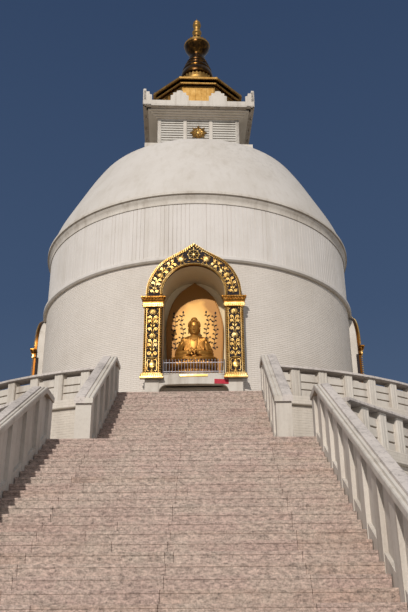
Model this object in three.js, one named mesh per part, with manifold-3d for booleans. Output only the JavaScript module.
// Whitewashed stupa on two round terraces, with a front stair and four gilded niches, at half size.
// Units are millimetres, +Z is up, the front stair faces -Y and the dome's axis is the Z axis.
import * as THREE from 'three';
import { mergeVertices } from 'three/addons/utils/BufferGeometryUtils.js';
import Module from 'manifold-3d';

const wasm = await Module();
wasm.setup();

// Scale: one metre of the real building in model millimetres, and the joint left between cut pieces
const scale = 0.5;
const m = 1000 * scale;
const joint = 0.3 / m;

// Driving dimensions, all in metres of the real building
const roundSides = 64;
const lower = { floor: 5.425, radius: 15.75 };
const upper = { floor: 8.2, radius: 12.05 };
const landing = { front: 17.65, half: 3.5, splay: Math.PI / 4 };
const ledge = { depth: 0.28, out: 0.12 };
const lowerFlight = {
  half: 2.88, risers: 31, tread: 0.32, head: landing.front, foot: 0, top: lower.floor, back: 1,
};
const upperFlight = {
  half: 2.15, risers: 12, tread: 0.37, head: upper.radius, foot: lower.floor, top: upper.floor, back: 0.8,
};
const lowerWall = { footY: -27.6, endY: -17.3, railTop: 6.5, thick: 0.27, railRise: 1.29 };
const upperWall = { footY: -16.5, endY: -11.85, railTop: 9.15, thick: 0.37, railRise: 1.33 };
const wallSize = { panelIn: 0.07, kerb: 0.1, pilaster: 0.32, pitch: 0.96 };
const rail = { sideOver: 0.035, thick: 0.16, over: 0.06, seat: 0.05 };
const balusters = { post: 0.3, panel: 0.14, coping: 0.46, copingThick: 0.1, high: 0.97, inset: 0.25 };
const ringBays = { upper: 19, lower: 23, landing: 6 };
const drum = { radius: 7.18, bandBottom: 15.1 };
const band = { out: 0.16, lip: 0.1, high: 0.24, edge: 0.08 };
const cornice = { bottom: 17.75, top: 18.3, radius: 7.37, fillet: 0.04, cove: 0.14, edge: 0.04 };
const domeCurve = [
  [7.26, 18.3], [7.22, 18.5], [7.06, 18.95], [6.84, 19.45], [6.3, 20.5], [5.78, 21.5], [5.43, 22.1],
  [5.22, 22.42], [5.08, 22.56], [4.9, 22.68], [4.4, 22.93], [3.83, 23.2],
];
const niche = { half: 1.21, floor: 10.37, spring: 13.63, back: 5.65, front: 7.4 };
const frame = { columnHalf: 1.89, archHalf: 1.84, apex: 15.82, thick: 0.14, archFoot: 13.5 };
const surround = { in: 0.03, drop: 0.05, back: 6.5 };
const slot = { half: 1.28, deep: 0.45, bottom: 8.9, top: 9.98 };
const panel = { front: 5.87, thick: 0.1 };
const seat = { y: -6.62, half: 0.95, flat: 0.52, high: 0.68 };
const box = {
  turn: THREE.MathUtils.degToRad(3), plinthHalf: 2.7, plinthBottom: 23.2, plinthTop: 24.05,
  half: 2.1, wallTop: 26, slabHalf: 2.85, slabBottom: 26.25, slabTop: 26.6,
};
const corbel = { count: 4, first: 0.1, step: 0.13 };
const crest = {
  thick: 0.16, sunk: 0.02, half: 0.46, high: 0.66, x: 0.98, cornerHalf: 0.45, cornerHigh: 0.7,
};
const roof = {
  neck: 2.1, bottom: 28.2, lowEave: 2.25, soffit: 2.12, highEave: 2.41, crown: 1, top: 29.5,
  eaveThick: 0.1, edgeThick: 0.14, lap: 0.01,
};

// Finishes
const finish = (colour, roughness, metalness) =>
  new THREE.MeshStandardMaterial({ color: colour, roughness, metalness });
const whitewash = finish('#dcd8d0', 0.85, 0);
const brickPaint = finish('#d9d3c9', 0.85, 0);
const slabPink = finish('#bda593', 0.8, 0);
const gilding = finish('#d9a02c', 0.35, 0.9);
const bronze = finish('#5a4220', 0.4, 0.9);

const stupa = new THREE.Group();
stupa.name = 'stupa';

// Add one named piece to the building
function addPiece(name, geometry, material) {
  const piece = new THREE.Mesh(geometry, material);
  piece.name = name;
  stupa.add(piece);
}

// Closed geometry to solid and back
function toSolid(geometry) {
  const bare = new THREE.BufferGeometry();
  bare.setAttribute('position', geometry.getAttribute('position'));
  if (geometry.index) bare.setIndex(geometry.index);
  const merged = mergeVertices(bare, 0.001);
  const vertProperties = new Float32Array(merged.getAttribute('position').array);
  const triVerts = new Uint32Array(merged.index.array);
  return new wasm.Manifold(new wasm.Mesh({ numProp: 3, vertProperties, triVerts }));
}

function toGeometry(solid) {
  const mesh = solid.getMesh();
  const geometry = new THREE.BufferGeometry();
  geometry.setAttribute('position', new THREE.BufferAttribute(new Float32Array(mesh.vertProperties), 3));
  geometry.setIndex(new THREE.BufferAttribute(new Uint32Array(mesh.triVerts), 1));
  return geometry;
}

const joined = (solids) => solids.reduce((sum, solid) => sum.add(solid));

// Block between two corners given in metres
function block(x0, x1, y0, y1, z0, z1) {
  const geometry = new THREE.BoxGeometry((x1 - x0) * m, (y1 - y0) * m, (z1 - z0) * m);
  geometry.translate(((x0 + x1) / 2) * m, ((y0 + y1) / 2) * m, ((z0 + z1) / 2) * m);
  return toSolid(geometry);
}

// Flat outline in metres, as [x, y] pairs, extruded upwards by a depth in metres
function extruded(points, depth) {
  const shape = new THREE.Shape(points.map(([x, y]) => new THREE.Vector2(x * m, y * m)));
  return new THREE.ExtrudeGeometry(shape, { depth: depth * m, bevelEnabled: false });
}

// Plan outline raised from z0 to z1
function raised(points, z0, z1) {
  const geometry = extruded(points, z1 - z0);
  geometry.translate(0, 0, z0 * m);
  return toSolid(geometry);
}

// Side outline in [y, z], carried across from x0 to x1
function across(points, x0, x1) {
  const geometry = extruded(points, x1 - x0);
  geometry.applyMatrix4(new THREE.Matrix4().makeBasis(
    new THREE.Vector3(0, 1, 0), new THREE.Vector3(0, 0, 1), new THREE.Vector3(1, 0, 0)));
  geometry.translate(x0 * m, 0, 0);
  return toSolid(geometry);
}

// Front outline in [x, z], carried back from the plane y = front to y = back
function inward(points, front, back) {
  const geometry = extruded(points, back - front);
  geometry.rotateX(Math.PI / 2);
  geometry.translate(0, back * m, 0);
  return toSolid(geometry);
}

// Turned form about the dome's axis from [radius, z] pairs that start and end on the axis
function turned(points, sides = roundSides) {
  const profile = points.map(([r, z]) => new THREE.Vector2(r * m, z * m));
  const geometry = new THREE.LatheGeometry(profile, sides);
  geometry.rotateX(Math.PI / 2);
  return geometry;
}

// The same solid turned about the dome's axis
const spun = (solid, angle) => solid.rotate([0, 0, THREE.MathUtils.radToDeg(angle)]);

// Point of the ground plan on a circle, with the angle counted from the stair
const onPlan = (radius, angle) => [radius * Math.sin(angle), -radius * Math.cos(angle)];

// Right half of a symmetrical outline, mirrored to its left, with the last point on the axis
const mirrored = (right) => [...right, ...right.slice(0, -1).map(([x, z]) => [-x, z]).reverse()];

// Terraces: a round wall with a ledge along its top, and a landing with splayed sides in front
const splayReach = (landing.front - landing.half) * Math.SQRT1_2;
const splayLength = splayReach
  - Math.sqrt(splayReach ** 2 - landing.half ** 2 - landing.front ** 2 + lower.radius ** 2);
const splayPoint = (along, inset) => [
  landing.half - inset / Math.cos(landing.splay) + along * Math.cos(landing.splay),
  -landing.front + along * Math.sin(landing.splay),
];
const [splayEndX, splayEndY] = splayPoint(splayLength, 0);
const ringStart = Math.atan2(splayEndX, -splayEndY);

// Plan of the lower terrace, drawn in by inset
function lowerPlan(inset) {
  const points = [];
  for (let i = 0; i <= roundSides; i++) {
    const angle = ringStart + ((2 * Math.PI - 2 * ringStart) * i) / roundSides;
    points.push(onPlan(lower.radius - inset, angle));
  }
  const [cornerX, cornerY] = splayPoint(0, inset);
  points.push([-cornerX, cornerY], [cornerX, cornerY]);
  return points;
}

const roundPlan = (radius) =>
  Array.from({ length: roundSides }, (_, i) => onPlan(radius, (2 * Math.PI * i) / roundSides));

addPiece('lower_terrace', toGeometry(
  raised(lowerPlan(ledge.out), 0, lower.floor - ledge.depth)
    .add(raised(lowerPlan(0), lower.floor - ledge.depth, lower.floor))), brickPaint);

function upperTerrace(grow, bottom, top) {
  const wall = raised(roundPlan(upper.radius - ledge.out + grow), bottom, upper.floor - ledge.depth);
  return wall.add(raised(roundPlan(upper.radius + grow), upper.floor - ledge.depth - grow, top));
}
addPiece('upper_terrace', toGeometry(upperTerrace(0, lower.floor, upper.floor)), brickPaint);

// Flights of steps, each cut where it meets its terrace
const upperCut = upperTerrace(joint, lower.floor - 1, upper.floor + joint);
const lowerCut = block(-landing.half, landing.half, -landing.front - joint, 0, -1, lower.floor + joint);

function stepProfile(flight) {
  const rise = (flight.top - flight.foot) / flight.risers;
  const backY = -flight.head + flight.back;
  const points = [[backY, flight.foot]];
  for (let i = flight.risers - 1; i >= 0; i--) {
    const y = -flight.head - i * flight.tread;
    const low = flight.top - (i + 1) * rise;
    points.push([y, low], [y, low + rise]);
  }
  points.push([backY, flight.top]);
  return points;
}

const stepsOf = (flight) => across(stepProfile(flight), -flight.half, flight.half);
addPiece('lower_flight', toGeometry(stepsOf(lowerFlight).subtract(lowerCut)), slabPink);
addPiece('upper_flight', toGeometry(stepsOf(upperFlight).subtract(upperCut)), slabPink);

// Stair walls: a stringer, pilasters with thin panels between them, and a rail that levels at its head
function stairWall(flight, wall, side) {
  const slope = (flight.top - flight.foot) / flight.risers / flight.tread;
  const nosing = (y) => flight.top + (y + flight.head) * slope;
  const railUnder = (y) => Math.min(nosing(y) + wall.railRise, wall.railTop) - rail.thick;
  const bendY = -flight.head + (wall.railTop - wall.railRise - flight.top) / slope;
  const kerbTop = (y) => Math.max(Math.min(nosing(y), flight.top), flight.foot) + wallSize.kerb;
  const under = [
    [wall.footY, flight.foot], [wall.endY, flight.foot], [wall.endY, railUnder(wall.endY) + rail.seat],
    [bendY, railUnder(bendY) + rail.seat], [wall.footY, railUnder(wall.footY) + rail.seat],
  ];
  const stringer = [
    [wall.footY, flight.foot], [wall.endY, flight.foot], [wall.endY, kerbTop(wall.endY)],
    [-flight.head, kerbTop(-flight.head)], [wall.footY, kerbTop(wall.footY)],
  ];
  const railFoot = wall.footY - rail.over;
  const railLine = [
    [railFoot, railUnder(railFoot)], [bendY, railUnder(bendY)], [wall.endY, railUnder(wall.endY)],
    [wall.endY, wall.railTop], [bendY, wall.railTop], [railFoot, railUnder(railFoot) + rail.thick],
  ];
  const middle = side * (flight.half + wall.thick / 2);
  const sides = (wide) => [middle - wide / 2, middle + wide / 2];
  const whole = across(under, ...sides(wall.thick));
  const parts = [
    across(under, ...sides(wall.thick - 2 * wallSize.panelIn)),
    across(stringer, ...sides(wall.thick)),
    across(railLine, ...sides(wall.thick + 2 * rail.sideOver)),
  ];
  const bays = Math.round((wall.endY - wall.footY) / wallSize.pitch);
  const pitch = (wall.endY - wall.footY - wallSize.pilaster) / bays;
  for (let i = 0; i <= bays; i++) {
    const y = wall.footY + i * pitch;
    const pier = block(...sides(wall.thick), y, y + wallSize.pilaster, flight.foot, wall.railTop);
    parts.push(pier.intersect(whole));
  }
  return joined(parts);
}

const bothSides = [[-1, 'left'], [1, 'right']];
for (const [side, word] of bothSides) {
  const wall = stairWall(lowerFlight, lowerWall, side).subtract(lowerCut);
  addPiece(`lower_stair_wall_${word}`, toGeometry(wall), whitewash);
}
for (const [side, word] of bothSides) {
  const wall = stairWall(upperFlight, upperWall, side).subtract(upperCut);
  addPiece(`upper_stair_wall_${word}`, toGeometry(wall), whitewash);
}

// Balustrade along points in the middle of the coping, one for each post
function balustrade(points, floor) {
  const final = points.length - 1;
  const stations = points.map(([x, y], i) => {
    const [ax, ay] = points[Math.max(i - 1, 0)];
    const [bx, by] = points[Math.min(i + 1, final)];
    const long = Math.hypot(bx - ax, by - ay);
    return { x, y, ux: (bx - ax) / long, uy: (by - ay) / long };
  });
  const beside = ({ x, y, ux, uy }, along, out) => [x + ux * along - uy * out, y + uy * along + ux * out];
  const copingEdge = (side) => stations.map((station) => beside(station, 0, (side * balusters.coping) / 2));
  const postedEdge = (side) => stations.flatMap((station, i) => {
    const near = (side * balusters.panel) / 2;
    const far = (side * balusters.post) / 2;
    const before = i === 0 ? [] : [beside(station, -balusters.post / 2, near)];
    const after = i === final ? [] : [beside(station, balusters.post / 2, near)];
    const starts = i === 0 ? 0 : -balusters.post / 2;
    const stops = i === final ? 0 : balusters.post / 2;
    return [...before, beside(station, starts, far), beside(station, stops, far), ...after];
  });
  const closed = (edge) => [...edge(1), ...edge(-1).reverse()];
  const top = floor + balusters.high;
  const under = top - balusters.copingThick;
  const posts = raised(closed(postedEdge), floor, under + balusters.copingThick / 2);
  return toGeometry(posts.add(raised(closed(copingEdge), under, top)));
}

// Ring balustrade in quarters, from one side of the stair round to the other
function ringBalustrade(name, level, start, bays) {
  const radius = level.radius - balusters.inset;
  const quarters = 4;
  const step = (2 * Math.PI - 2 * start) / quarters;
  const slack = 0.01 / radius;
  for (let quarter = 0; quarter < quarters; quarter++) {
    const from = start + step * quarter + slack;
    const points = Array.from({ length: bays + 1 }, (_, i) =>
      onPlan(radius, from + ((step - 2 * slack) * i) / bays));
    addPiece(`${name}_${quarter + 1}`, balustrade(points, level.floor), whitewash);
  }
}
const firstPostIn = 0.17;
const besideStair = upperFlight.half + firstPostIn;
const upperStart = Math.asin(besideStair / (upper.radius - balusters.inset));
ringBalustrade('upper_balustrade', upper, upperStart, ringBays.upper);
ringBalustrade('lower_balustrade', lower, ringStart + 0.012, ringBays.lower);

// Balustrade on each splayed side of the landing, between the stair wall and the ring
const splayFrom = 0.55;
const splayTo = splayLength - 0.25;
for (const [side, word] of bothSides) {
  const points = Array.from({ length: ringBays.landing + 1 }, (_, i) => {
    const along = splayFrom + ((splayTo - splayFrom) * i) / ringBays.landing;
    const [x, y] = splayPoint(along, balusters.inset);
    return [side * x, y];
  });
  if (side < 0) points.reverse();
  addPiece(`landing_balustrade_${word}`, balustrade(points, lower.floor), whitewash);
}

// Round arch outline in [x, z] from the floor over the crown
const archSteps = 8;
const archSweep = (half, spring, last) => Array.from({ length: archSteps + 1 }, (_, i) => {
  const angle = (last * i) / archSteps;
  return [half * Math.cos(angle), spring + half * Math.sin(angle)];
});

function roundArch(half, floor) {
  const sweep = archSweep(half, niche.spring, Math.PI / 2).slice(0, -1);
  return mirrored([[half, floor], ...sweep, [0, niche.spring + half]]);
}

// Ogee arch outline: round shoulders that turn up to a point
const shoulder = THREE.MathUtils.degToRad(58);
function ogeeArch(half, floor, apex) {
  const sweep = archSweep(half, niche.spring, shoulder);
  const [x, z] = sweep[archSteps];
  const turnUp = [x * 0.45, (z + apex) / 2];
  return mirrored([[half, floor], ...sweep, turnUp, [0, apex]]);
}

// Lower drum with a niche and a shallow slot below it on each of its four sides
const quarterTurns = [0, 1, 2, 3].map((i) => (i * Math.PI) / 2);
const sideWords = ['front', 'right', 'rear', 'left'];
const past = 1;
const recess = inward(roundArch(niche.half, niche.floor), -drum.radius - past, -niche.back);
const slotCut = block(
  -slot.half, slot.half, -drum.radius - past, -drum.radius + slot.deep, slot.bottom, slot.top);
let lowerDrum = toSolid(turned([
  [0, upper.floor], [drum.radius, upper.floor], [drum.radius, drum.bandBottom], [0, drum.bandBottom],
]));
for (const angle of quarterTurns) {
  lowerDrum = lowerDrum.subtract(spun(recess, angle)).subtract(spun(slotCut, angle));
}
addPiece('lower_drum', toGeometry(lowerDrum), brickPaint);

// White surround from the terrace floor up, between the round wall and the flat gilded frame
const drumCut = toSolid(turned([
  [0, upper.floor - past], [drum.radius + joint, upper.floor - past],
  [drum.radius + joint, cornice.bottom], [0, cornice.bottom],
]));
const surroundSolid = inward(
  ogeeArch(frame.archHalf - surround.in, upper.floor, frame.apex - surround.drop),
  -niche.front + frame.thick + joint, -surround.back)
  .subtract(recess)
  .subtract(block(-slot.half, slot.half, -niche.front - past, -surround.back + past, 0, slot.top))
  .subtract(drumCut);

// Gilded frame: each tier of a column is its reach beyond the shaft, forward reach, bottom and top
const columnTiers = [
  [0, 0, 10.4, 13.1], [0.1, 0.1, 10.19, 10.41], [0.05, 0.05, 13.05, 13.28], [0.13, 0.12, 13.27, 13.56],
];
const frameBack = -niche.front + frame.thick;
const column = (side) => joined(columnTiers.map(([reach, forward, z0, z1]) => {
  const ends = [side * (niche.half - reach), side * (frame.columnHalf + reach)];
  return block(Math.min(...ends), Math.max(...ends), -niche.front - forward, frameBack, z0, z1);
}));
const archBand = inward(ogeeArch(frame.archHalf, frame.archFoot, frame.apex), -niche.front, frameBack)
  .subtract(inward(roundArch(niche.half, frame.archFoot - past), -niche.front - past, frameBack + past));
const frameSolid = joined([column(-1), column(1), archBand]);

// Upper drum with a moulded band at its foot, notched where the four crowns rise past it
let upperDrum = toSolid(turned([
  [0, drum.bandBottom], [drum.radius + band.lip, drum.bandBottom],
  [drum.radius + band.out, drum.bandBottom + band.edge],
  [drum.radius + band.out, drum.bandBottom + band.high - band.edge],
  [drum.radius, drum.bandBottom + band.high], [drum.radius, cornice.bottom], [0, cornice.bottom],
]));
const crownCut = inward(
  ogeeArch(frame.archHalf + 0.01, niche.floor, frame.apex + 0.01), -niche.front - past, -drum.radius + 0.1)
  .subtract(drumCut);
for (const angle of quarterTurns) upperDrum = upperDrum.subtract(spun(crownCut, angle));
addPiece('upper_drum', toGeometry(upperDrum), whitewash);

addPiece('cornice', turned([
  [0, cornice.bottom], [drum.radius + cornice.fillet, cornice.bottom],
  [drum.radius + cornice.fillet, cornice.bottom + 0.08], [drum.radius + cornice.cove, cornice.top - 0.2],
  [cornice.radius, cornice.top - 0.16], [cornice.radius, cornice.top - cornice.edge],
  [cornice.radius - 0.08, cornice.top], [0, cornice.top],
]), whitewash);

// Dome: radius and height up its side, steep at the cornice and flat at the square box
addPiece('dome', turned([[0, cornice.top], ...domeCurve, [0, box.plinthBottom]]), whitewash);

// Square box on the dome: plinth, louvred walls, corbels, parapet with stepped crests
const squareBlock = (half, z0, z1) => block(-half, half, -half, half, z0, z1);
const onBox = (solid) => toGeometry(spun(solid, box.turn));
addPiece('box_plinth', onBox(squareBlock(box.plinthHalf, box.plinthBottom, box.plinthTop)), whitewash);
addPiece('box_walls', onBox(squareBlock(box.half, box.plinthTop, box.wallTop)), whitewash);
const corbelHigh = (box.slabBottom - box.wallTop) / corbel.count;
addPiece('box_corbels', onBox(joined(Array.from({ length: corbel.count }, (_, i) => {
  const bottom = box.wallTop + i * corbelHigh;
  return squareBlock(box.half + corbel.first + i * corbel.step, bottom, bottom + corbelHigh);
}))), whitewash);

// Stepped crest on the parapet's front edge, as shares of its half width and height
const crestSteps = [[1, 0], [1, 0.45], [0.72, 0.45], [0.72, 0.72], [0.4, 0.72], [0.4, 0.88], [0, 1]];
function crestAt(x, half, high) {
  const base = box.slabTop - crest.sunk;
  const points = mirrored(crestSteps.map(([w, h]) => [half * w, base + high * h]));
  return inward(points.map(([w, z]) => [x + w, z]), -box.slabHalf, -box.slabHalf + crest.thick);
}
const cornerCrests = crestAt(box.slabHalf, crest.cornerHalf, crest.cornerHigh)
  .add(crestAt(-box.slabHalf, crest.cornerHalf, crest.cornerHigh))
  .intersect(squareBlock(box.slabHalf, box.slabTop - past, box.slabTop + past));
const crestsOfSide = joined([
  crestAt(-crest.x, crest.half, crest.high), crestAt(crest.x, crest.half, crest.high), cornerCrests,
]);
addPiece('box_parapet', onBox(joined([
  squareBlock(box.slabHalf, box.slabBottom, box.slabTop),
  ...quarterTurns.map((angle) => spun(crestsOfSide, angle)),
])), whitewash);

// Gilded octagonal neck and roof with two layered eaves
const octagonCorner = (apothem) => apothem / Math.cos(Math.PI / 8);
const octagon = (apothem) => Array.from({ length: 8 }, (_, i) =>
  onPlan(octagonCorner(apothem), Math.PI / 8 + (i * Math.PI) / 4));
const soffitBottom = roof.bottom + roof.eaveThick;
const edgeBottom = soffitBottom + roof.eaveThick;
const eaveTop = edgeBottom + roof.edgeThick;
addPiece('roof_neck', onBox(raised(octagon(roof.neck), box.slabTop, roof.bottom)), gilding);
addPiece('roof_eaves', onBox(joined([
  raised(octagon(roof.lowEave), roof.bottom, soffitBottom + roof.lap),
  raised(octagon(roof.soffit), soffitBottom, edgeBottom + roof.lap),
  raised(octagon(roof.highEave), edgeBottom, eaveTop),
])), gilding);
const hips = new THREE.CylinderGeometry(
  roof.crown * m, octagonCorner(roof.highEave) * m, (roof.top - eaveTop) * m, 8, 1);
hips.rotateX(Math.PI / 2);
hips.rotateZ(Math.PI / 8);
hips.translate(0, 0, ((roof.top + eaveTop) / 2) * m);
addPiece('roof_hips', onBox(toSolid(hips)), gilding);

// Pinnacle: beaded seat, ringed bell, lotus bulb and spire, each as radius and height above the roof
const pinnacleSides = 16;
const pinnacle = {
  seat: [[0.95, 0], [0.95, 0.2], [0.8, 0.3], [0.88, 0.45], [0.88, 0.6], [0.76, 0.72], [0.76, 0.85]],
  bell: [
    [0.9, 0.85], [0.92, 1.2], [0.86, 1.4], [0.88, 1.5], [0.77, 1.72], [0.78, 1.8], [0.65, 1.98],
    [0.66, 2.06], [0.53, 2.26], [0.53, 2.42], [0.4, 2.52],
  ],
  bulb: [
    [0.38, 2.52], [0.38, 2.6], [0.55, 2.7], [0.66, 2.9], [0.72, 3.1], [0.73, 3.3], [0.71, 3.5],
    [0.63, 3.62], [0.63, 3.72], [0.57, 3.86], [0.44, 3.98],
  ],
  spire: [
    [0.38, 3.98], [0.34, 4.1], [0.2, 4.24], [0.33, 4.34], [0.33, 4.46], [0.19, 4.56], [0.24, 4.66],
    [0.24, 4.78], [0.18, 4.86], [0.23, 4.94], [0.23, 5.06], [0.13, 5.18], [0.06, 5.26], [0.045, 5.34],
    [0, 5.5],
  ],
};
for (const [name, curve] of Object.entries(pinnacle)) {
  const profile = curve.map(([r, h]) => [r, roof.top + h]);
  const ends = [profile[0], profile[profile.length - 1]].map(([, z]) => [0, z]);
  if (name === 'spire') ends.pop();
  const material = name === 'bell' || name === 'bulb' ? bronze : gilding;
  addPiece(`pinnacle_${name}`, turned([ends[0], ...profile, ...ends.slice(1)], pinnacleSides), material);
}

// Rounded mass of the figure, from its three half sizes, its centre and its facets
function rounded([rx, ry, rz], [x, y, z], [wide, high]) {
  const geometry = new THREE.SphereGeometry(1, wide, high);
  geometry.rotateX(Math.PI / 2);
  geometry.scale(rx * m, ry * m, rz * m);
  geometry.translate(x * m, y * m, z * m);
  return toSolid(geometry);
}

// Seated figure on a lotus seat
function seatedFigure() {
  const sideways = turned([
    [0, niche.floor], [seat.half, niche.floor], [seat.half, niche.floor + 0.12],
    [0.79, niche.floor + 0.26], [seat.half, niche.floor + 0.56], [0.9, niche.floor + seat.high],
    [0, niche.floor + seat.high],
  ], 16);
  sideways.scale(1, seat.flat, 1);
  sideways.translate(0, seat.y * m, 0);
  const top = niche.floor + seat.high;
  const legs = rounded([0.86, 0.44, 0.24], [0, seat.y, top + 0.14], [8, 4]);
  const body = rounded([0.6, 0.27, 0.7], [0, seat.y + 0.05, top + 0.62], [8, 6]);
  const hands = rounded([0.34, 0.17, 0.15], [0, seat.y - 0.24, top + 0.44], [6, 4]);
  const head = rounded([0.22, 0.24, 0.38], [0, seat.y, top + 1.4], [8, 5]);
  const topknot = rounded([0.11, 0.12, 0.12], [0, seat.y + 0.03, top + 1.76], [6, 3]);
  return joined([toSolid(sideways), legs, body, hands, head, topknot]);
}

// Leaf-shaped panel behind the figure
const panelOutline = mirrored([
  [0.98, niche.floor], [1.09, 11.6], [1.13, 12.4], [1.12, 13], [1, 13.55], [0.82, 14],
  [0.5, 14.4], [0, 14.76],
]);
const backPanel = inward(panelOutline, -panel.front, -panel.front + panel.thick);
const figure = seatedFigure();

quarterTurns.forEach((angle, i) => {
  const word = sideWords[i];
  addPiece(`niche_surround_${word}`, toGeometry(spun(surroundSolid, angle)), whitewash);
  addPiece(`niche_frame_${word}`, toGeometry(spun(frameSolid, angle)), gilding);
  addPiece(`niche_back_panel_${word}`, toGeometry(spun(backPanel, angle)), gilding);
  addPiece(`seated_figure_${word}`, toGeometry(spun(figure, angle)), gilding);
});

export default stupa;
